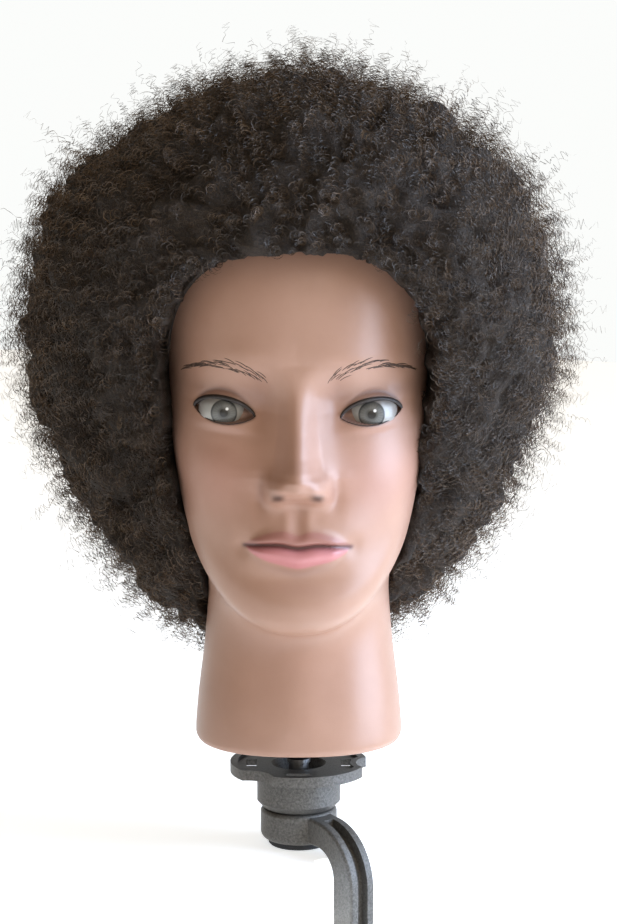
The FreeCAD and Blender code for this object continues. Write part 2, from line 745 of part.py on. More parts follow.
def main():
    fill_sheet()
    shell, cap, core = head_parts()
    parts = {
        "clamp_frame": clamp_frame(), "table_pad": table_pad(), "thread_insert": thread_insert(),
        "wave_spring": wave_spring(), "lower_ball_seat": lower_seat(),
        "upper_ball_seat": upper_seat(), "ball_stud": ball_stud(), "post_sleeve": post_sleeve(),
        "post_washer": post_washer(), "post_screw": post_screw(), "locking_wheel": wheel(),
        "pressure_foot": pressure_foot(), "foot_pad": foot_pad(), "foot_clip": foot_clip(),
        "clamp_screw": clamp_screw(), "screw_hub": screw_hub(), "hub_pin": hub_pin(),
        "tommy_bar": tommy_bar(), "bar_cap_left": bar_cap("bar_cap_left", -1),
        "bar_cap_right": bar_cap("bar_cap_right", 1), "neck_plate": neck_plate(),
        "neck_socket": neck_socket(), **{f"plate_screw_{i + 1}": plate_screw(i) for i in range(3)},
        "head_skin": held("head_skin", shell), "scalp": held("scalp", cap),
        "foam_core": held("foam_core", core), "hair": held("hair", hair_form()),
    }
    doc.recompute()
    for obj in doc.Objects:
        if "Invalid" in obj.State or "Error" in obj.State:
            raise RuntimeError(f"{obj.Name} failed: {obj.State}")
    os.makedirs("parts", exist_ok=True)
    for node, obj in parts.items():
        obj.Label = node
        shape = obj.Shape
        if shape.isNull() or not shape.isValid():
            raise RuntimeError(f"{node} has no valid shape")
        shape.exportStep(os.path.join("parts", node + ".step"))
        print(f"{node}: {len(shape.Solids)} solid, {shape.Volume:.0f} mm3")


main()
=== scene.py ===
import math

import bpy
import numpy as np
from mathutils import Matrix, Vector
from mathutils.bvhtree import BVHTree


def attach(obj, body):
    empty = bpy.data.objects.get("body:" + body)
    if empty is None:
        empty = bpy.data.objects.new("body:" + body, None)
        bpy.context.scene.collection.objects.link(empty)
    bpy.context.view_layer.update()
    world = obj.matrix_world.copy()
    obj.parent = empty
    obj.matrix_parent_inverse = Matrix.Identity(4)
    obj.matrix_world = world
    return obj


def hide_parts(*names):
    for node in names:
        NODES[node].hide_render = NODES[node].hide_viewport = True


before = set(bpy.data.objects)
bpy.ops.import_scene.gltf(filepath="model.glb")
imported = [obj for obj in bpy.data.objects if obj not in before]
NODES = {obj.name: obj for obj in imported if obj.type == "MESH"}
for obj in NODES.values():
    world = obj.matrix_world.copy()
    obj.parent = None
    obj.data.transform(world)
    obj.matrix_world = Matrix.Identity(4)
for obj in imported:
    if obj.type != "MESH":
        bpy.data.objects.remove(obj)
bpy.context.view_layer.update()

MM = 0.001
SCENE = bpy.context.scene


# ------------------------------------------------------------ camera and stage
# metres, millimetres of lens, and degrees below level
CAMERA_PLACE, CAMERA_LENS, CAMERA_DIP = (0.005, -1.0, 0.3085), 77.922078, 6.39


def make_camera():
    """A camera about a metre in front of the face, looking slightly down."""
    data = bpy.data.cameras.new("camera")
    data.sensor_width = 36.0
    data.lens = CAMERA_LENS
    data.clip_start = 0.02
    data.clip_end = 60.0
    camera = bpy.data.objects.new("camera", data)
    SCENE.collection.objects.link(camera)
    camera.location = CAMERA_PLACE
    camera.rotation_euler = (math.radians(90.0 - CAMERA_DIP), 0.0, 0.0)
    SCENE.camera = camera


def plain_material(name, colour, roughness):
    material = bpy.data.materials.new(name)
    material.use_nodes = True
    shader = material.node_tree.nodes["Principled BSDF"]
    shader.inputs["Base Color"].default_value = (*colour, 1.0)
    shader.inputs["Roughness"].default_value = roughness
    return material


def flat_sheet(name, outline, height, thick):
    """A level slab for the stage, its top at the height given."""
    corners = [(x, y, z) for z in (height - thick, height) for x, y in outline]
    count = len(outline)
    faces = [tuple(reversed(range(count))), tuple(range(count, 2 * count))]
    faces += [(k, (k + 1) % count, (k + 1) % count + count, k + count) for k in range(count)]
    mesh = bpy.data.meshes.new(name)
    mesh.from_pydata(corners, [], faces)
    sheet = bpy.data.objects.new(name, mesh)
    SCENE.collection.objects.link(sheet)
    return sheet


def make_stage():
    # the table's edge is square to the clamp's arm behind it and runs forward beside it
    out, along, edge = Vector((0.602, -0.799)), Vector((0.799, 0.602)), 0.029
    near = out * edge
    corner = near - along * 0.012
    outline = [corner, near + along * 3.0, near + along * 3.0 - out * 4.0, (-4.0, 3.0),
               (-4.0, -3.0), (corner.x, -3.0)]
    table = flat_sheet("table_top", outline, -0.0002, 0.0276)
    ground = flat_sheet("ground", [(-8.0, -8.0), (8.0, -8.0), (8.0, 8.0), (-8.0, 8.0)], -0.75, 0.01)
    pale = plain_material("stage_white", (0.90, 0.90, 0.895), 0.8)
    glow = pale.node_tree.nodes["Principled BSDF"].inputs
    glow["Emission Color"].default_value = (0.95, 0.98, 1.0, 1.0)
    glow["Emission Strength"].default_value = 0.66
    for sheet in (table, ground):
        sheet.data.materials.append(pale)


def area_light(name, place, target, size, power, colour=(1.0, 1.0, 1.0)):
    data = bpy.data.lights.new(name, "AREA")
    data.shape = "RECTANGLE"
    data.size, data.size_y = size
    data.energy = power
    data.color = colour
    light = bpy.data.objects.new(name, data)
    SCENE.collection.objects.link(light)
    light.location = place
    aim = Vector(target) - Vector(place)
    light.rotation_euler = aim.to_track_quat("-Z", "Y").to_euler()
    return light


def make_lights():
    world = bpy.data.worlds.new("studio")
    world.use_nodes = True
    SCENE.world = world
    background = world.node_tree.nodes["Background"]
    # a white wall behind, a dim room on the left and a bright one on the right
    tree = world.node_tree
    heading = tree.nodes.new("ShaderNodeTexCoord")
    parts = tree.nodes.new("ShaderNodeSeparateXYZ")
    tree.links.new(heading.outputs["Generated"], parts.inputs[0])
    spans = []
    for source, span in (("X", (-0.8, 0.9, 0.12, 0.78)), ("Y", (0.55, 0.85, 0.0, 1.0))):
        node = tree.nodes.new("ShaderNodeMapRange")
        for name, value in zip(("From Min", "From Max", "To Min", "To Max"), span):
            node.inputs[name].default_value = value
        tree.links.new(parts.outputs[source], node.inputs["Value"])
        spans.append(node.outputs["Result"])
    level = tree.nodes.new("ShaderNodeMath")
    level.operation = "MAXIMUM"
    tree.links.new(spans[0], level.inputs[0])
    tree.links.new(spans[1], level.inputs[1])
    tree.links.new(level.outputs[0], background.inputs["Strength"])
    tint = tree.nodes.new("ShaderNodeMixRGB")
    tint.inputs["Color1"].default_value = (1.0, 0.82, 0.58, 1.0)
    tint.inputs["Color2"].default_value = (0.97, 0.98, 0.965, 1.0)
    tree.links.new(spans[1], tint.inputs["Fac"])
    tree.links.new(tint.outputs["Color"], background.inputs["Color"])
    area_light("window", (1.35, -0.25, 0.55), (0.0, 0.0, 0.25), (1.3, 1.5), 37.0,
               (0.80, 1.02, 1.38))
    area_light("front_fill", (0.25, -1.7, 0.75), (0.0, 0.0, 0.2), (1.0, 1.0), 3.4, (1.0, 0.9, 0.78))


# ------------------------------------------------------------ mesh helpers
def mesh_object(name, points, faces, smooth=True):
    """A mesh from points in millimetres and a face array."""
    points = np.asarray(points, np.float32) * MM
    faces = np.asarray(faces, np.int32)
    mesh = bpy.data.meshes.new(name)
    count, corners = faces.shape
    mesh.vertices.add(len(points))
    mesh.vertices.foreach_set("co", points.ravel())
    mesh.loops.add(count * corners)
    mesh.loops.foreach_set("vertex_index", faces.ravel())
    mesh.polygons.add(count)
    mesh.polygons.foreach_set("loop_start", np.arange(0, count * corners, corners, dtype=np.int32))
    if smooth:
        mesh.polygons.foreach_set("use_smooth", np.ones(count, bool))
    mesh.update(calc_edges=True)
    mesh.validate()
    obj = bpy.data.objects.new(name, mesh)
    SCENE.collection.objects.link(obj)
    return obj


def paint_points(obj, colours, name="paint"):
    """Stores one linear colour for each point."""
    layer = obj.data.color_attributes.new(name, "FLOAT_COLOR", "POINT")
    full = np.ones((len(colours), 4), np.float32)
    full[:, :3] = colours
    layer.data.foreach_set("color", full.ravel())


def grid_faces(rows, columns, wrap):
    """Quads of a grid; wrap closes each row into a ring."""
    last = columns if wrap else columns - 1
    row, column = np.meshgrid(np.arange(rows - 1), np.arange(last), indexing="ij")
    a = row * columns + column
    b = row * columns + (column + 1) % columns
    return np.stack([a, b, b + columns, a + columns], -1).reshape(-1, 4)


def bell(value, width):
    return np.exp(-0.5 * (value / width) ** 2)


def ramp(value, low, high):
    """Smooth step from 0 at low to 1 at high."""
    t = np.clip((value - low) / (high - low), 0.0, 1.0)
    return t * t * (3.0 - 2.0 * t)


def mixed(a, b, share):
    return a + (b - a) * share


def smooth_curve(levels, keys, at):
    """Catmull-Rom through keys at levels 0, 1, 2 and so on, one column per quantity."""
    keys = np.asarray(keys, float)
    padded = np.vstack([2 * keys[0] - keys[1], keys, 2 * keys[-1] - keys[-2]])
    index = np.clip(at.astype(int), 0, levels - 2)
    t = (at - index)[:, None]
    p0, p1, p2, p3 = (padded[index + k] for k in range(4))
    return 0.5 * (2 * p1 + (p2 - p0) * t + (2 * p0 - 5 * p1 + 4 * p2 - p3) * t**2
                  + (3 * p1 - p0 - 3 * p2 + p3) * t**3)


# ------------------------------------------------------------ head
# each loop round the head: front y and z, side x, y and z, back y and z, in millimetres
HEAD_LOOPS = [
    (-40.0, 57.0, 40.0, 0.0, 57.0, 40.0, 57.0), (-48.6, 57.1, 49.0, 0.0, 57.1, 48.6, 57.1),
    (-51.0, 59.0, 51.6, 0.0, 59.0, 51.0, 59.0), (-51.6, 63.5, 52.2, 0.0, 63.5, 51.6, 63.5),
    (-50.0, 80.0, 50.6, 0.0, 82.0, 51.0, 84.0), (-47.5, 97.0, 47.8, 0.0, 104.0, 50.0, 112.0),
    (-46.5, 112.0, 46.0, -1.0, 124.0, 50.0, 138.0), (-51.5, 119.0, 45.2, -3.0, 138.0, 54.0, 154.0),
    (-63.0, 121.3, 47.0, -6.0, 148.5, 60.0, 163.0), (-74.5, 122.6, 50.2, -8.0, 155.5, 66.0, 169.0),
    (-81.5, 127.5, 53.6, -10.0, 164.0, 71.0, 176.0), (-84.5, 137.0, 56.2, -12.0, 175.0, 77.0, 186.0),
    (-83.0, 151.0, 58.8, -14.0, 189.0, 84.0, 199.0), (-83.5, 168.0, 61.2, -15.0, 205.0, 90.0, 214.0),
    (-82.5, 190.0, 62.6, -14.0, 221.0, 94.0, 228.0), (-81.5, 212.0, 63.4, -12.0, 235.0, 96.5, 242.0),
    (-82.5, 232.0, 64.4, -8.0, 250.0, 97.0, 256.0), (-86.5, 252.0, 66.0, -4.0, 265.0, 97.0, 270.0),
    (-88.0, 272.0, 67.5, 0.0, 279.0, 95.5, 284.0), (-86.5, 292.0, 67.5, 3.0, 296.0, 91.5, 300.0),
    (-79.0, 311.0, 62.0, 5.0, 313.0, 82.5, 315.0), (-63.0, 327.0, 49.5, 6.0, 328.0, 66.5, 329.0),
    (-42.0, 338.0, 32.5, 6.0, 338.5, 46.0, 339.0), (-18.0, 343.6, 15.0, 5.0, 344.0, 24.0, 344.0),
    (0.5, 344.9, 2.5, 4.0, 344.9, 6.0, 344.9),
]
ROWS_PER_GAP = [5, 4, 5, 12, 11, 8, 6, 8, 9, 9, 14, 19, 22, 27, 27, 25, 22, 14, 10, 9, 9, 8, 6, 4]
FRONT_COLUMNS, BACK_COLUMNS = 232, 90
# the eyes: centre, half width, height of the lids' edges and of the upper crease
EYE_X, EYE_Z = 34.4, 226.8
EYE_HALF = 14.4
LID_UP, LID_DOWN = 6.6, 5.4
LID_CREASE = 9.8


def head_grid():
    """Rows of points round the head, with the share of each point's turn that is frontal."""
    at = [np.zeros(1)]
    for gap, count in enumerate(ROWS_PER_GAP):
        at.append(gap + np.arange(1, count + 1) / count)
    at = np.concatenate(at)
    rows = smooth_curve(len(HEAD_LOOPS), HEAD_LOOPS, at)
    kernel = np.exp(-0.5 * (np.arange(-6, 7) / 2.5) ** 2)
    kernel /= kernel.sum()
    padded = np.vstack([rows[:1].repeat(6, 0), rows, rows[-1:].repeat(6, 0)])
    eased = np.stack([np.convolve(padded[:, k], kernel, "valid") for k in range(7)], 1)
    keep = np.exp(-((at - 2.0) / 1.6) ** 2)[:, None]
    rows = eased * (1 - keep) + rows * keep
    front = np.linspace(-90.0, 90.0, FRONT_COLUMNS, endpoint=False)
    back = np.linspace(90.0, 270.0, BACK_COLUMNS, endpoint=False)
    turn = np.radians(np.concatenate([front, back]))
    sine, cosine = np.sin(turn), np.cos(turn)
    x_share = np.sign(sine) * np.abs(sine) ** 0.87
    y_share = np.abs(cosine) ** 0.87
    z_share = cosine**2
    ahead = cosine >= 0
    y_end = np.where(ahead, rows[:, 0:1], rows[:, 5:6])
    z_end = np.where(ahead, rows[:, 1:2], rows[:, 6:7])
    x = rows[:, 2:3] * x_share
    y = rows[:, 3:4] + (y_end - rows[:, 3:4]) * y_share
    z = rows[:, 4:5] + (z_end - rows[:, 4:5]) * z_share
    return np.broadcast_to(x, y.shape).copy(), y, z, np.broadcast_to(cosine, y.shape)


def mouth_line(x):
    """Height of the line between the lips."""
    a = np.abs(x)
    return 166.6 - 0.02 * x - 0.7 * bell(x, 4.0) + 0.6 * bell(a - 9, 5.0) - 0.6 * ramp(a, 17, 24)


def lip_top(x):
    a = np.abs(x)
    rise = 7.6 * np.clip(1 - (a / 26.0) ** 2, 0, 1) ** 0.8
    return mouth_line(x) + rise * (1 - 0.17 * bell(x, 2.4))


def lip_bottom(x):
    a = np.abs(x)
    return mouth_line(x) - 10.0 * np.clip(1 - (a / 24.5) ** 2.2, 0, 1) ** 0.75


def nose_form(x, z):
    """How far the nose stands out of the face."""
    levels = np.array([180, 184, 187, 189, 191, 194, 198, 202, 208, 218, 228, 236, 243, 250])
    heights = np.array([0.0, 0.4, 2.5, 8.0, 15.5, 20.8, 23.2, 22.0, 17.6, 12.0, 7.6, 4.6, 2.4, 0.0])
    widths = np.array([9.0, 9.0, 8.5, 8.2, 8.0, 8.6, 9.2, 9.0, 8.2, 7.4, 6.8, 6.8, 7.4, 8.0])
    height = np.interp(z, levels, heights)
    width = 1.18 * np.interp(z, levels, widths)
    ridge = height * np.exp(-np.abs(x / width) ** 2.1)
    base = height * 0.42 * np.exp(-np.abs(x / (width * 1.6)) ** 2.4)
    side = np.abs(x) - 10.0
    wing = 10.0 * np.exp(-np.abs(side / 5.2) ** 2.4 - np.abs((z - 193.2) / 6.4) ** 2.4)
    return np.maximum(ridge, base) + wing * (1 - 0.45 * ridge / 23.2)


def eye_gap(x, z):
    """How far a point is inside the almond of the eye, and its height in it."""
    u = (np.abs(x) - EYE_X) / EYE_HALF
    lift = z - EYE_Z + 0.012 * x - 0.9 - 1.9 * u
    inside = np.clip(1 - u * u, 0, 1)
    upper = LID_UP * inside**0.62
    lower = LID_DOWN * inside**0.8 * (1 + 0.15 * u)
    return np.where(np.abs(u) < 1, np.minimum(upper - lift, lift + lower), -9.0), lift


def face_relief(x, z):
    """How far the features stand out of the plain head, in millimetres."""
    a = np.abs(x)
    out = nose_form(x, z)
    # brow ridge, eye socket, inner corner, eyeball, cheekbone, hollow of the cheek
    out += 2.2 * bell(z - 251, 7.0) * bell(a - 24, 15.0)
    out -= 7.0 * bell(a - 30, 12.0) * bell(z - 231, 9.5)
    out -= 5.0 * bell(a - 17.0, 5.5) * bell(z - 232, 9.0)
    out += 6.6 * bell(a - EYE_X - 0.5, 10.5) * bell(z - EYE_Z - 0.5, 6.6)
    out += 2.6 * bell(a - 41, 13.0) * bell(z - 204, 12.0)
    out -= 2.2 * bell(a - 40, 11.0) * bell(z - 168, 15.0)
    # muzzle, groove and edges of the philtrum, folds beside the nose
    out += 3.4 * bell(x, 20.0) * bell(z - 170, 14.0)
    out -= 1.0 * bell(x, 2.4) * bell(z - 180, 5.0)
    out += 0.7 * bell(a - 5.0, 2.0) * bell(z - 180, 5.0)
    out -= 1.6 * bell(a - 17.5, 2.6) * bell(z - 192, 6.0)
    # lips, the line between them, the corners, the dip under the lip and the chin
    middle, top, bottom = mouth_line(x), lip_top(x), lip_bottom(x)
    upper = np.clip((z - middle) / np.maximum(top - middle, 0.3), -1, 2)
    lower = np.clip((middle - z) / np.maximum(middle - bottom, 0.3), -1, 2)
    fade = ramp(25.0 - a, 0.0, 9.0)
    out += 3.1 * fade * np.where(upper >= 0, bell(upper - 0.42, 0.42), 0)
    out += 4.6 * fade * np.where(lower > 0, bell(lower - 0.46, 0.36), 0)
    out -= 1.9 * ramp(25.5 - a, 0.0, 4.0) * bell(z - middle, 0.8)
    out -= 1.4 * bell(a - 26.0, 3.0) * bell(z - 165.5, 3.5)
    out -= 2.4 * bell(x, 13.0) * bell(z - 151.5, 4.5)
    out += 2.2 * bell(x, 13.0) * bell(z - 138, 8.5)
    return out


def eyelids(x, z):
    """Lid folds and the opening that shows the eyeball."""
    gap, lift = eye_gap(x, z)
    near = bell(np.abs(x) - EYE_X, 9.5)
    u = np.clip((np.abs(x) - EYE_X) / EYE_HALF, -1, 1)
    crease = LID_CREASE * (1 - 0.75 * u * u)
    lids = 0.7 * near * bell(lift - 7.6, 1.5) - 1.2 * near * bell(lift - crease - 0.4, 1.1)
    lids += 0.5 * near * bell(lift + 6.6, 1.6) - 0.5 * near * bell(lift + 9.4, 1.6)
    return lids, ramp(gap, 0.0, 0.9)


def skin_colours(x, z, frontal):
    """Linear colour of each point of the skin, with painted shade in its folds and hollows and a painted
    highlight down the nose.
    """
    a = np.abs(x)
    base = np.array([0.43, 0.25, 0.18])
    colour = np.tile(base, (*x.shape, 1))

    def lay(tint, share):
        colour[:] = mixed(colour, np.array(tint), np.clip(share, 0, 1)[..., None])

    face = ramp(frontal, 0.12, 0.4)
    lay((0.48, 0.235, 0.185), 0.45 * face * bell(a - 38, 15.0) * bell(z - 198, 14.0))
    # painted highlight: a lighter strip down the middle of the nose
    lay((0.48, 0.275, 0.21), 0.5 * face * bell(x, 9.0) * bell(z - 205, 20.0))
    gap, lift = eye_gap(x, z)
    near = bell(a - EYE_X, 12.5)
    lay((0.29, 0.165, 0.125), 0.8 * face * near * bell(lift - 9.3, 3.0))
    u = np.clip((a - EYE_X) / EYE_HALF, -1, 1)
    # painted shade: a dark line in the crease of the upper lid
    fold = lift - LID_CREASE * (1 - 0.75 * u * u) - 0.4
    lay((0.16, 0.085, 0.065), 0.75 * face * ramp(1.0 - np.abs(u), 0.0, 0.35) * bell(fold, 0.75))
    # painted shade in the hollow at the inner corner of each eye
    lay((0.33, 0.19, 0.15), 0.5 * face * bell(a - 20, 5.0) * bell(z - 233, 7.0))
    # painted shade under the lower lid
    lay((0.40, 0.23, 0.18), 0.5 * face * near * bell(lift + 8.2, 2.0))
    lay((0.10, 0.065, 0.055), face * ramp(gap, -2.0, -0.5) * ramp(lift, 0.0, 2.0) * 0.75)
    lay((0.16, 0.10, 0.085), face * ramp(gap, -1.2, -0.2) * ramp(-lift, -1.0, 1.0) * 0.6)
    middle, top, bottom = mouth_line(x), lip_top(x), lip_bottom(x)
    inside = np.minimum(top - z, z - bottom)
    lips = ramp(inside, -0.5, 0.9) * ramp(26.4 - a, 0.0, 2.0) * face
    lay((0.36, 0.145, 0.125), lips * np.where(z > middle, 0.75, 0.0))
    lay((0.56, 0.215, 0.225), lips * np.where(z <= middle, 0.95, 0.0))
    # painted shade: the dark line in the groove between the lips
    lay((0.075, 0.026, 0.024), face * bell(z - middle, 0.75) * ramp(27.0 - a, 0.0, 2.5) * 0.95)
    # painted shadow under the lower lip
    lay((0.30, 0.165, 0.13), 0.55 * face * bell(x, 12.0) * bell(z - bottom + 2.4, 1.7))
    # painted shade: dark nostrils, where the mesh has no opening
    nostril_shade = np.exp(-np.abs((a - 9.0) / 3.0) ** 2.6 - np.abs((z - 190.2 + 0.10 * (a - 9.0)) / 2.1) ** 2.6)
    lay((0.060, 0.026, 0.02), face * nostril_shade * 0.95)
    # painted shade in the folds beside the nose
    lay((0.33, 0.175, 0.13), 0.6 * face * bell(a - 17.0, 1.5) * bell(z - 192, 5.0))
    # painted shade in the groove of the philtrum
    lay((0.40, 0.235, 0.18), 0.35 * face * bell(x, 2.2) * bell(z - 180, 5.0))
    return colour


def make_head():
    """The skin with its painted colours, and a tree of its front for what is laid on it."""
    x, y, z, frontal = head_grid()
    rows, columns = x.shape
    mask = ramp(frontal, 0.10, 0.42) * ramp(z, 122.0, 132.0)
    y = y - face_relief(x, z) * mask
    lids, opening = eyelids(x, z)
    y -= lids * mask
    # throat, the neck's two long muscles and the hollow behind the jaw
    neck = ramp(118.0 - z, 0.0, 16.0) * ramp(z, 60.0, 74.0)
    y -= neck * ramp(frontal, 0.2, 0.8) * (1.2 * bell(x, 9.0) - 0.5 * bell(np.abs(x) - 17, 7.0))
    skin_y = y.copy()
    y += 5.5 * opening * ramp(frontal, 0.3, 0.5)
    colours = skin_colours(x, z, frontal)
    points = np.stack([x, y, z], -1).reshape(-1, 3)
    faces = grid_faces(rows, columns, True)
    crown = len(points)
    points = np.vstack([points, [[0, 4, 345.0]]])
    ring = (rows - 1) * columns + np.arange(columns)
    tip = np.stack([ring, np.roll(ring, -1), np.full(columns, crown)], -1)
    obj = mesh_object("skin", points, faces)
    add_triangles(obj, tip)
    colours = np.vstack([colours.reshape(-1, 3), colours[-1, :1]])
    paint_points(obj, colours)
    return obj, BVHTree.FromPolygons(
        [tuple(p) for p in np.stack([x, skin_y, z], -1).reshape(-1, 3)], faces.tolist())


def add_triangles(obj, triangles):
    """Adds triangles between points that the mesh already has."""
    import bmesh

    work = bmesh.new()
    work.from_mesh(obj.data)
    work.verts.ensure_lookup_table()
    for corners in triangles:
        face = work.faces.new([work.verts[int(i)] for i in corners])
        face.smooth = True
    work.to_mesh(obj.data)
    work.free()


# ------------------------------------------------------------ materials
def node_material(name, colour, roughness):
    """A material with its shader and its tree, ready for procedural nodes."""
    material = plain_material(name, colour, roughness)
    tree = material.node_tree
    return material, tree, tree.nodes["Principled BSDF"]


def add_noise(tree, scale, detail=4.0, rough=0.55):
    coordinates = tree.nodes.new("ShaderNodeTexCoord")
    noise = tree.nodes.new("ShaderNodeTexNoise")
    noise.inputs["Scale"].default_value = scale
    noise.inputs["Detail"].default_value = detail
    noise.inputs["Roughness"].default_value = rough
    tree.links.new(coordinates.outputs["Object"], noise.inputs["Vector"])
    return noise


def add_ramp(tree, source, stops):
    """A colour ramp fed by a socket; stops are (place, colour) pairs."""
    band = tree.nodes.new("ShaderNodeValToRGB")
    elements = band.color_ramp.elements
    for index, (place, colour) in enumerate(stops):
        element = elements[index] if index < 2 else elements.new(place)
        element.position = place
        element.color = (*colour, 1.0) if len(colour) == 3 else colour
    tree.links.new(source, band.inputs["Fac"])
    return band


def add_bump(tree, shader, source, strength, distance):
    bump = tree.nodes.new("ShaderNodeBump")
    bump.inputs["Strength"].default_value = strength
    bump.inputs["Distance"].default_value = distance
    tree.links.new(source, bump.inputs["Height"])
    tree.links.new(bump.outputs["Normal"], shader.inputs["Normal"])
    return bump


def grey(value):
    return (value, value, value)


def paint_over(tree, shader, scale, detail, low, high):
    """Links a piece's own painted points to the base colour, with noise over them."""
    paint = tree.nodes.new("ShaderNodeVertexColor")
    paint.layer_name = "paint"
    noise = add_noise(tree, scale, detail)
    tint = add_ramp(tree, noise.outputs["Fac"], [(0.3, low), (0.7, high)])
    mix = tree.nodes.new("ShaderNodeMixRGB")
    mix.blend_type = "MULTIPLY"
    mix.inputs["Fac"].default_value = 1.0
    tree.links.new(paint.outputs["Color"], mix.inputs["Color1"])
    tree.links.new(tint.outputs["Color"], mix.inputs["Color2"])
    tree.links.new(mix.outputs["Color"], shader.inputs["Base Color"])


def skin_material():
    material, tree, shader = node_material("vinyl_skin", (0.54, 0.32, 0.24), 0.42)
    paint_over(tree, shader, 55.0, 4.0, (0.93, 0.91, 0.90), grey(1.0))
    fine = add_noise(tree, 1400.0, 2.0)
    rough = add_ramp(tree, fine.outputs["Fac"], [(0.25, grey(0.36)), (0.75, grey(0.46))])
    tree.links.new(rough.outputs["Color"], shader.inputs["Roughness"])
    add_bump(tree, shader, fine.outputs["Fac"], 0.10, 0.0003)
    shader.inputs["Coat Weight"].default_value = 0.22
    shader.inputs["Coat Roughness"].default_value = 0.42
    return material


def metal_paint(name, dark, light, roughness, scale, bump):
    """Hammered or cast paint: speckled colour, uneven gloss and a fine rough skin."""
    material, tree, shader = node_material(name, dark, roughness)
    noise = add_noise(tree, scale, 6.0, 0.65)
    band = add_ramp(tree, noise.outputs["Fac"], [(0.35, dark), (0.68, light)])
    tree.links.new(band.outputs["Color"], shader.inputs["Base Color"])
    gloss = add_ramp(tree, noise.outputs["Fac"],
                     [(0.3, grey(roughness - 0.1)), (0.7, grey(roughness + 0.12))])
    tree.links.new(gloss.outputs["Color"], shader.inputs["Roughness"])
    add_bump(tree, shader, noise.outputs["Fac"], bump, 0.0006)
    return material, shader


def dress_cad():
    """Gives each carried-over CAD node its own procedural material."""
    cast, shader = metal_paint("cast_paint", (0.060, 0.058, 0.054), (0.17, 0.165, 0.155), 0.46, 900, 0.5)
    shader.inputs["Metallic"].default_value = 0.25
    steel, shader = metal_paint("steel", (0.42, 0.42, 0.43), (0.60, 0.60, 0.61), 0.34, 500, 0.06)
    shader.inputs["Metallic"].default_value = 1.0
    dark, shader = metal_paint("dark_steel", (0.05, 0.05, 0.052), (0.11, 0.11, 0.11), 0.38, 600, 0.15)
    shader.inputs["Metallic"].default_value = 0.8
    brass, shader = metal_paint("brass", (0.50, 0.36, 0.14), (0.68, 0.51, 0.24), 0.32, 400, 0.05)
    shader.inputs["Metallic"].default_value = 1.0
    rubber, _ = metal_paint("pad_rubber", (0.012, 0.014, 0.018), (0.035, 0.038, 0.044), 0.72, 1200, 0.3)
    black, _ = metal_paint("black_plastic", (0.010, 0.010, 0.011), (0.026, 0.026, 0.028), 0.34, 1500, 0.10)
    pale, _ = metal_paint("seat_plastic", (0.66, 0.64, 0.58), (0.78, 0.77, 0.72), 0.45, 300, 0.06)
    foam, _ = metal_paint("foam", (0.66, 0.60, 0.46), (0.83, 0.78, 0.66), 0.85, 450, 0.8)
    scalp, _ = metal_paint("scalp_vinyl", (0.016, 0.011, 0.009), (0.05, 0.034, 0.026), 0.8, 500, 0.6)
    wear = {
        "cast_paint": ("clamp_frame", "locking_wheel"),
        "steel": ("wave_spring", "ball_stud", "post_washer", "post_screw", "plate_screw_1",
                  "plate_screw_2", "plate_screw_3", "foot_clip", "pressure_foot", "hub_pin",
                  "tommy_bar"),
        "dark_steel": ("clamp_screw", "screw_hub"),
        "brass": ("thread_insert",), "pad_rubber": ("table_pad", "foot_pad"),
        "black_plastic": ("post_sleeve", "neck_socket", "neck_plate", "bar_cap_left", "bar_cap_right"),
        "seat_plastic": ("lower_ball_seat", "upper_ball_seat"), "foam": ("foam_core",),
        "scalp_vinyl": ("scalp",),
    }
    made = {"cast_paint": cast, "steel": steel, "dark_steel": dark, "brass": brass,
            "pad_rubber": rubber, "black_plastic": black, "seat_plastic": pale, "foam": foam,
            "scalp_vinyl": scalp}
    for name, nodes in wear.items():
        for node in nodes:
            obj = NODES[node]
            if not obj.material_slots:
                obj.data.materials.append(made[name])
            for place in obj.material_slots:
                place.material = made[name]


# ------------------------------------------------------------ eyes, brows
def surface_y(surface, x, z):
    """Where the skin's front is at x and z, in millimetres."""
    hit = surface.ray_cast(Vector((x, -200.0, z)), Vector((0.0, 1.0, 0.0)))[0]
    return hit.y if hit else -70.0


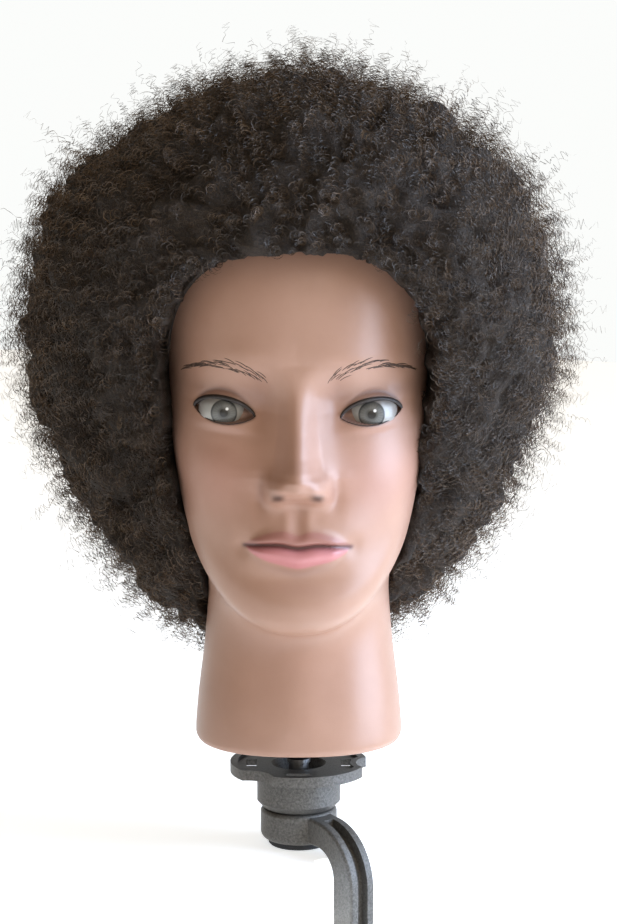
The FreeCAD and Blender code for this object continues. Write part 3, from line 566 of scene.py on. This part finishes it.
def make_eye(name, side, surface):
    """The visible cap of an eyeball, with a painted iris and pupil, painted shade and a painted highlight.
    """
    radius, inset, iris_radius, pupil_radius = 12.6, 1.1, 6.35, 2.15
    place_x, place_z = side * EYE_X, EYE_Z - 0.012 * side * EYE_X + 0.6
    front = surface_y(surface, place_x, place_z) + inset
    u, v = np.meshgrid(np.linspace(-1, 1, 110), np.linspace(-1, 1, 70))
    across, up = u * 12.3, v * 9.4
    reach = np.sqrt(np.clip(radius**2 - across**2 - up**2, 1.0, None))
    x, z = place_x + across, place_z + up
    y = front + radius - reach
    points = np.stack([x, y, z], -1).reshape(-1, 3)
    eye = mesh_object(name, points, grid_faces(*x.shape, False))
    dx, dz = across, up + 0.2
    out = np.hypot(dx, dz)
    spoke = np.arctan2(dz, dx)
    wave = 0.5 + 0.25 * np.sin(spoke * 23.0) + 0.25 * np.sin(spoke * 41.0 + 1.7)
    colour = np.tile(np.array([0.40, 0.40, 0.385]), (*x.shape, 1))

    def lay(tint, share):
        colour[:] = mixed(colour, np.array(tint), np.clip(share, 0, 1)[..., None])

    # painted shade: the white darkens towards the corners of the eye
    lay((0.30, 0.255, 0.235), 0.8 * ramp(np.abs(across), 7.5, 13.5))
    # painted shadow of the upper lid across the top of the eyeball
    lay((0.17, 0.15, 0.14), 0.85 * ramp(up, 2.6, 5.6))
    lay((0.45, 0.24, 0.20), ramp(-across * side, 11.2, 13.2))
    iris = ramp(iris_radius - out, 0.0, 0.45)
    lay((0.115, 0.122, 0.12), iris)
    lay((0.215, 0.22, 0.21), iris * 0.65 * wave * ramp(out, 2.0, 3.6) * ramp(6.0 - out, 0.0, 1.2))
    lay((0.030, 0.032, 0.034), iris * ramp(out, 5.0, 6.1))
    lay((0.05, 0.045, 0.04), iris * ramp(3.4 - out, 0.0, 1.4) * 0.6)
    lay((0.006, 0.006, 0.007), ramp(pupil_radius - out, 0.0, 0.4))
    # painted shadow of the upper lid on the top of the iris
    lay((0.03, 0.03, 0.03), iris * 0.65 * ramp(dz, 1.6, 4.6))
    # painted highlight: a white catchlight up beside the pupil
    lay((0.93, 0.94, 0.95), ramp(0.85 - np.hypot(dx - 1.5, dz - 1.9), 0.0, 0.3))
    paint_points(eye, colour.reshape(-1, 3))
    return eye


def almond(side, count, upper):
    """Points along one lid's edge, from the inner to the outer corner."""
    u = np.linspace(-1.0, 1.0, count)
    inside = np.clip(1 - u * u, 0, 1)
    lift = LID_UP * inside**0.62 if upper else -LID_DOWN * inside**0.8 * (1 + 0.15 * u)
    x = side * (EYE_X + EYE_HALF * u)
    return x, EYE_Z - 0.012 * x + 0.9 + 1.9 * u + lift, u


def tube_parts(path, radii, sides=8, flat=1.0):
    """A tapered tube along path; flat squeezes it along Y."""
    path = np.asarray(path, float)
    along = np.gradient(path, axis=0)
    along /= np.linalg.norm(along, axis=1)[:, None]
    first = np.cross(along, [0.0, 1.0, 0.0])
    first /= np.linalg.norm(first, axis=1)[:, None]
    second = np.cross(first, along)
    turn = np.linspace(0, 2 * np.pi, sides, endpoint=False)
    ring = (first[:, None] * np.cos(turn)[None, :, None]
            + second[:, None] * np.sin(turn)[None, :, None] * flat)
    points = path[:, None] + ring * np.asarray(radii, float)[:, None, None]
    return points.reshape(-1, 3), grid_faces(len(path), sides, True)


def join_meshes(name, parts):
    points, faces, start = [], [], 0
    for some, quads in parts:
        points.append(some)
        faces.append(np.asarray(quads) + start)
        start += len(some)
    return mesh_object(name, np.vstack(points), np.vstack(faces))


def make_lids(name, side, surface):
    """Dark painted rims of both lids, the upper one thicker."""
    parts = []
    for upper, thick in ((True, 1.05), (False, 0.22)):
        x, z, u = almond(side, 60, upper)
        y = np.array([surface_y(surface, a, b) for a, b in zip(x, z)]) + 0.1
        radii = thick * (0.45 + 0.55 * np.sqrt(np.clip(1 - u * u, 0, 1)))
        if upper:
            radii *= 1 + 0.35 * ramp(u, 0.0, 0.9)
        parts.append(tube_parts(np.stack([x, y, z], 1), radii))
    return join_meshes(name, parts)


def make_brow(name, side, surface, rng):
    """Fine painted strokes of one eyebrow, laid just proud of the skin."""
    parts = []
    inner, peak, outer = ((13.6, 243.6), (34.0, 254.0), (51.5, 247.4))
    for index in range(54):
        t = index / 53.0 + rng.uniform(-0.006, 0.006)
        t = min(max(t, 0.0), 1.0)
        x = (1 - t) ** 2 * inner[0] + 2 * t * (1 - t) * peak[0] + t * t * outer[0]
        z = (1 - t) ** 2 * inner[1] + 2 * t * (1 - t) * (peak[1] + 2.5) + t * t * outer[1]
        band = 2.3 * (1 - t) ** 0.7 + 0.35
        z += rng.uniform(-band, band)
        lean = math.radians(mixed(62.0, 2.0, min(1.0, t * 1.25)) + rng.uniform(-9, 9))
        length = mixed(7.6, 6.0, t) * rng.uniform(0.75, 1.15)
        s = np.linspace(0.0, 1.0, 9)
        bend = lean - s * 0.55
        px = x + np.cumsum(np.cos(bend)) * length / 9
        pz = z + np.cumsum(np.sin(bend)) * length / 9 - 2.0 * (1 - t)
        py = [surface_y(surface, side * a, b) - 0.03 for a, b in zip(px, pz)]
        radii = 0.235 * np.sin(np.pi * np.clip(s * 0.86 + 0.14, 0, 1)) ** 0.6 + 0.02
        parts.append(tube_parts(np.stack([side * px, py, pz], 1), radii, 4, 0.35))
    return join_meshes(name, parts)


def speckled(name, colour, roughness, scale, low, high):
    """A plain painted material whose colour wanders between two shades."""
    material, tree, shader = node_material(name, colour, roughness)
    noise = add_noise(tree, scale)
    band = add_ramp(tree, noise.outputs["Fac"], [(0.3, low), (0.7, high)])
    tree.links.new(band.outputs["Color"], shader.inputs["Base Color"])
    return material


def make_face_details(surface):
    """Eyes, lid rims and brows of both sides, which ride on the head."""
    rng = np.random.default_rng(11)
    eye_paint, tree, shader = node_material("eye_paint", (0.5, 0.5, 0.5), 0.30)
    paint_over(tree, shader, 900.0, 3.0, grey(0.93), grey(1.0))
    shader.inputs["Coat Weight"].default_value = 0.5
    shader.inputs["Coat Roughness"].default_value = 0.08
    liner = speckled("lid_liner", (0.018, 0.013, 0.012), 0.5, 700.0,
                     (0.014, 0.010, 0.009), (0.034, 0.025, 0.022))
    brown = speckled("brow_paint", (0.06, 0.035, 0.025), 0.6, 350.0,
                     (0.045, 0.026, 0.018), (0.11, 0.065, 0.046))
    for side, word in ((-1, "right"), (1, "left")):
        pieces = ((make_eye("eye_" + word, side, surface), eye_paint),
                  (make_lids("lids_" + word, side, surface), liner),
                  (make_brow("brow_" + word, side, surface, rng), brown))
        for piece, material in pieces:
            piece.data.materials.append(material)
            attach(piece, "head")


# ------------------------------------------------------------ hair
# height, reach to -X, reach to +X, reach forward and reach back of the hair, in millimetres
HAIR_LEVELS = np.array([
    (99, 46, 36, -14, 66), (106, 70, 56, -24, 78), (121, 87, 75, -34, 92), (146, 108, 96, -46, 108),
    (182, 128, 116, -64, 124), (213, 139, 130, -78, 134), (238, 145, 138, -92, 139),
    (263, 147, 141, -106, 141), (303, 140, 133, -121, 136), (327, 130, 122, -121, 127),
    (352, 110, 105, -107, 108), (376, 76, 75, -78, 78), (391, 42, 43, -44, 48), (399, 8, 10, -4, 16),
], float)
HAIR_CENTRE = np.array([-2.0, 12.0, 252.0])
HAIR_BOTTOM, HAIR_TOP = HAIR_LEVELS[0, 0], HAIR_LEVELS[-1, 0]
# height and half width of the opening round the face
WINDOW_LEVELS = np.array([
    (99, 43), (125, 43), (150, 47), (182, 57), (213, 60), (245, 62), (262, 60.5), (277, 57),
    (287, 51), (293, 42), (299, 28), (301, 0), (310, -30),
], float)
# no curl reaches past this box
CURL_LOW, CURL_HIGH = np.array([-158.0, -133.0, 90.0]), np.array([158.0, 157.0, 419.0])
CURL_COUNT, CURL_STEPS, CURL_WIDTH = 15000, 44, 0.33
CURL_PIECES = 8


def hair_reach(z):
    """Left, right, front and back reach of the hair at each height."""
    return [np.interp(z, HAIR_LEVELS[:, 0], HAIR_LEVELS[:, k]) for k in range(1, 5)]


def hair_shell(rows, columns):
    """Smooth grid of points on the hair's outer form and their outward normals."""
    share = np.linspace(0.0, 1.0, rows)
    climb = 0.5 - 0.5 * np.cos(np.pi * share) * (1 - 0.25 * np.sin(np.pi * share) ** 2)
    z = mixed(HAIR_BOTTOM, HAIR_TOP, climb)
    z = z[:, None] + np.zeros(columns)
    turn = np.linspace(0, 2 * np.pi, columns, endpoint=False)[None, :] + np.zeros((rows, 1))
    left, right, front, back = hair_reach(z)
    sine, cosine = np.sin(turn), np.cos(turn)
    x = np.where(sine < 0, left, right) * sine
    middle, depth = (front + back) / 2, (back - front) / 2
    y = middle - depth * cosine
    points = np.stack([x, y, z], -1)
    for _ in range(3):
        inner = points.copy()
        inner[1:-1] = (points[:-2] + points[2:] + 2 * points[1:-1]) / 4
        points = (np.roll(inner, 1, 1) + np.roll(inner, -1, 1) + 2 * inner) / 4
    down = np.gradient(points, axis=0)
    around = np.roll(points, -1, 1) - np.roll(points, 1, 1)
    normal = np.cross(around, down)
    normal /= np.linalg.norm(normal, axis=2)[..., None] + 1e-9
    return points, normal


def waves(points, count, low, high, seed):
    """Smooth random lumps: a sum of plane waves between two wavelengths."""
    rng = np.random.default_rng(seed)
    total = np.zeros(points.shape[:-1])
    for _ in range(count):
        way = rng.normal(size=3)
        way *= 2 * np.pi / rng.uniform(low, high) / np.linalg.norm(way)
        total += np.sin(points @ way + rng.uniform(0, 2 * np.pi))
    return total / math.sqrt(count / 2)


def window_half(z):
    """Half width of the opening round the face at each height; below 0 above the hairline."""
    return np.interp(z, WINDOW_LEVELS[:, 0], WINDOW_LEVELS[:, 1])


def in_window(points):
    """How far a point is inside the opening round the face: 1 inside, 0 outside."""
    x, y, z = points[..., 0], points[..., 1], points[..., 2]
    lumps = 1.6 * waves(points, 14, 14, 34, 8)
    return ramp(window_half(z) + lumps - np.abs(x + 1.0), -2.5, 2.5) * ramp(12.0 - y, 0.0, 6.0)


def make_undercoat():
    """The dark mass under the curls, drawn straight back behind the face."""
    points, normal = hair_shell(170, 400)
    lumps = 2.6 * waves(points, 26, 22, 48, 3) + 1.3 * waves(points, 30, 8, 16, 4)
    mass = points - normal * (12.0 - lumps)[..., None]
    window = in_window(mass)
    mass[..., 1] = mixed(mass[..., 1], np.maximum(mass[..., 1], 4.0), window)
    rows, columns = mass.shape[:2]
    obj = mesh_object("hair_mass", mass.reshape(-1, 3), grid_faces(rows, columns, True)[:, ::-1])
    return obj, mass, window


def close_ends(obj):
    import bmesh

    work = bmesh.new()
    work.from_mesh(obj.data)
    edges = [edge for edge in work.edges if edge.is_boundary]
    made = bmesh.ops.holes_fill(work, edges=edges)["faces"]
    bmesh.ops.triangulate(work, faces=made)
    work.to_mesh(obj.data)
    work.free()


def sample_roots(mass, window, count, rng):
    """Random points on the undercoat with its normals, spread by area."""
    a, b = mass[:-1], mass[1:]
    c = np.roll(b, -1, 1)
    normal = np.cross(np.roll(a, -1, 1) - a, b - a)
    area = np.linalg.norm(normal, axis=2)
    normal = -normal / (area[..., None] + 1e-9)
    shown = 1 - np.maximum(window[:-1], window[1:])
    edge = window_half(a[..., 2]) + 13.0 - np.abs(a[..., 0])
    rim = ramp(edge, 0.0, 6.0) * ramp(-a[..., 1], 20.0, 35.0)
    area = np.minimum(area, 12.0)
    weight = (area * (shown > 0.25) * (1 + 2.4 * rim)).ravel()
    pick = rng.choice(len(weight), count, p=weight / weight.sum())
    u, v = rng.random((2, count, 1))
    a, b, c = (m.reshape(-1, 3)[pick] for m in (a, b, c))
    d = np.roll(mass[:-1], -1, 1).reshape(-1, 3)[pick]
    root = a * (1 - u) * (1 - v) + d * u * (1 - v) + b * (1 - u) * v + c * u * v
    normal = normal.reshape(-1, 3)[pick]
    outward = root - HAIR_CENTRE
    outward /= np.linalg.norm(outward, axis=1)[:, None]
    flip = np.sum(normal * outward, 1) < -0.15
    normal[flip] *= -1
    return root, normal, outward


def face_distance(points):
    """Rough distance of a point outside the head's own form, in millimetres."""
    x, y, z = points[:, 0], points[:, 1] - 5.0, points[:, 2] - 228.0
    size = np.sqrt((x / 66.0) ** 2 + (y / np.where(y < 0, 91.0, 92.0)) ** 2 + (z / 116.0) ** 2)
    return (size - 1.0) * 75.0


def curls(root, way, length, radius, pitch, steps, width, rng):
    """Ribbons wound on helices: points (strand, step, two edges, 3)."""
    count = len(root)
    helper = rng.normal(size=(count, 3))
    first = np.cross(way, helper)
    first /= np.linalg.norm(first, axis=1)[:, None]
    second = np.cross(way, first)
    s = np.linspace(0, 1, steps)[None, :]
    bend = rng.normal(size=(count, 3)) * 0.16
    bend[:, 2] -= 0.05
    run = s * length[:, None]
    uneven = 1 + 0.18 * np.sin(run * 0.55 + rng.random((count, 1)) * 6.28)
    phase = 2 * np.pi * run / pitch[:, None] * uneven
    phase += rng.random((count, 1)) * 2 * np.pi
    wobble = 1 + 0.35 * np.sin(run * 0.8 + rng.random((count, 1)) * 6.28)
    coil = (radius[:, None] * wobble * (0.45 + 0.55 * np.sqrt(s)))[..., None]
    radial = np.cos(phase)[..., None] * first[:, None] + np.sin(phase)[..., None] * second[:, None]
    middle = root[:, None] + way[:, None] * run[..., None] + bend[:, None] * (run[..., None] ** 2) * 0.06
    line = middle + radial * coil
    spread = way[:, None] * 0.72 + radial * 0.69
    half = (0.5 * width * (1.0 - 0.75 * s**2.5))[..., None]
    return np.stack([line - spread * half, line + spread * half], 2)


def ribbon_faces(count, steps):
    """Quads of count ribbons, each of steps pairs of points."""
    strand = np.arange(count)[:, None] * steps * 2
    step = np.arange(steps - 1)[None, :] * 2
    a = (strand + step).ravel()
    return np.stack([a, a + 1, a + 3, a + 2], -1)


def make_hair():
    """The undercoat and the curls on it, in pieces by their direction from the middle."""
    rng = np.random.default_rng(29)
    undercoat, mass, window = make_undercoat()
    close_ends(undercoat)
    count, steps = CURL_COUNT, CURL_STEPS
    root, normal, outward = sample_roots(mass, window, count, rng)
    way = 0.65 * normal + 0.5 * outward + rng.normal(size=(count, 3)) * 0.33
    way[:, 2] -= 0.05
    way /= np.linalg.norm(way, axis=1)[:, None]
    clump = 1 + 0.28 * waves(root, 40, 9, 20, 21)
    length = rng.uniform(8.0, 18.0, count) * clump * (1 + 0.3 * (rng.random(count) > 0.93))
    near = ramp(face_distance(root), 2.0, 26.0) + ramp(root[:, 1], -20.0, 10.0)
    length *= np.clip(0.42 + near, 0, 1)
    radius = rng.uniform(1.0, 2.9, count)
    pitch = rng.uniform(2.2, 4.4, count)
    lines = curls(root, way, length, radius, pitch, steps, CURL_WIDTH, rng)
    # curls that would hang in front of the face or stray past the box are left out
    middle = lines.mean(2)
    inner = window_half(middle[..., 2]) - 5.0 - np.abs(middle[..., 0] + 1.0)
    over = ((inner > 0) & (middle[..., 1] < -20)).mean(1)
    stray = ((middle < CURL_LOW) | (middle > CURL_HIGH)).any(axis=(1, 2))
    keep = (over < 0.28) & ~stray
    lines, root = lines[keep], root[keep]
    count = len(lines)
    shades = [(0.021, 0.0125, 0.007), (0.045, 0.027, 0.0145), (0.080, 0.049, 0.027),
              (0.130, 0.083, 0.048), (0.20, 0.138, 0.085)]
    inks = [plain_material(f"hair_shade_{i + 1}", shade, 0.48) for i, shade in enumerate(shades)]
    # outer curls get lighter shades: painted rim light on the edge of the hair, over a random spread of
    # tone
    side = np.hypot(root[:, 0] - HAIR_CENTRE[0], root[:, 2] - HAIR_CENTRE[2]) / 140.0
    rank = np.clip(rng.normal(1.1, 0.8, count) + 1.5 * ramp(side, 0.6, 1.0), 0, 4.4).astype(int)
    heading = np.arctan2(root[:, 0], root[:, 1]) / (2 * np.pi) + 0.5
    sector = np.floor(heading * (CURL_PIECES - 0.001)).astype(int)
    made = [undercoat]
    for index in range(CURL_PIECES):
        own = np.nonzero(sector == index)[0]
        own = own[np.argsort(rank[own], kind="stable")]
        obj = mesh_object(f"hair_curls_{index + 1}", lines[own].reshape(-1, 3),
                          ribbon_faces(len(own), steps))
        for ink in inks:
            obj.data.materials.append(ink)
        obj.data.polygons.foreach_set("material_index", np.repeat(rank[own], steps - 1).astype(np.int32))
        obj.data.update()
        made.append(obj)
        print(obj.name, len(obj.data.polygons) * 2)
    undercoat.data.materials.append(undercoat_material())
    for obj in made:
        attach(obj, "head")
    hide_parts("hair")


def undercoat_material():
    material, tree, shader = node_material("hair_depth", (0.014, 0.010, 0.008), 0.75)
    noise = add_noise(tree, 620.0, 8.0, 0.7)
    noise.inputs["Distortion"].default_value = 1.6
    band = add_ramp(tree, noise.outputs["Fac"],
                    [(0.38, (0.008, 0.005, 0.0032)), (0.62, (0.058, 0.036, 0.021))])
    tree.links.new(band.outputs["Color"], shader.inputs["Base Color"])
    add_bump(tree, shader, noise.outputs["Fac"], 1.0, 0.003)
    return material


def main():
    SCENE.view_settings.view_transform = "Standard"
    make_camera()
    make_stage()
    make_lights()
    dress_cad()
    skin, surface = make_head()
    skin.data.materials.append(skin_material())
    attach(skin, "head")
    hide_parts("head_skin")
    make_face_details(surface)
    make_hair()


main()
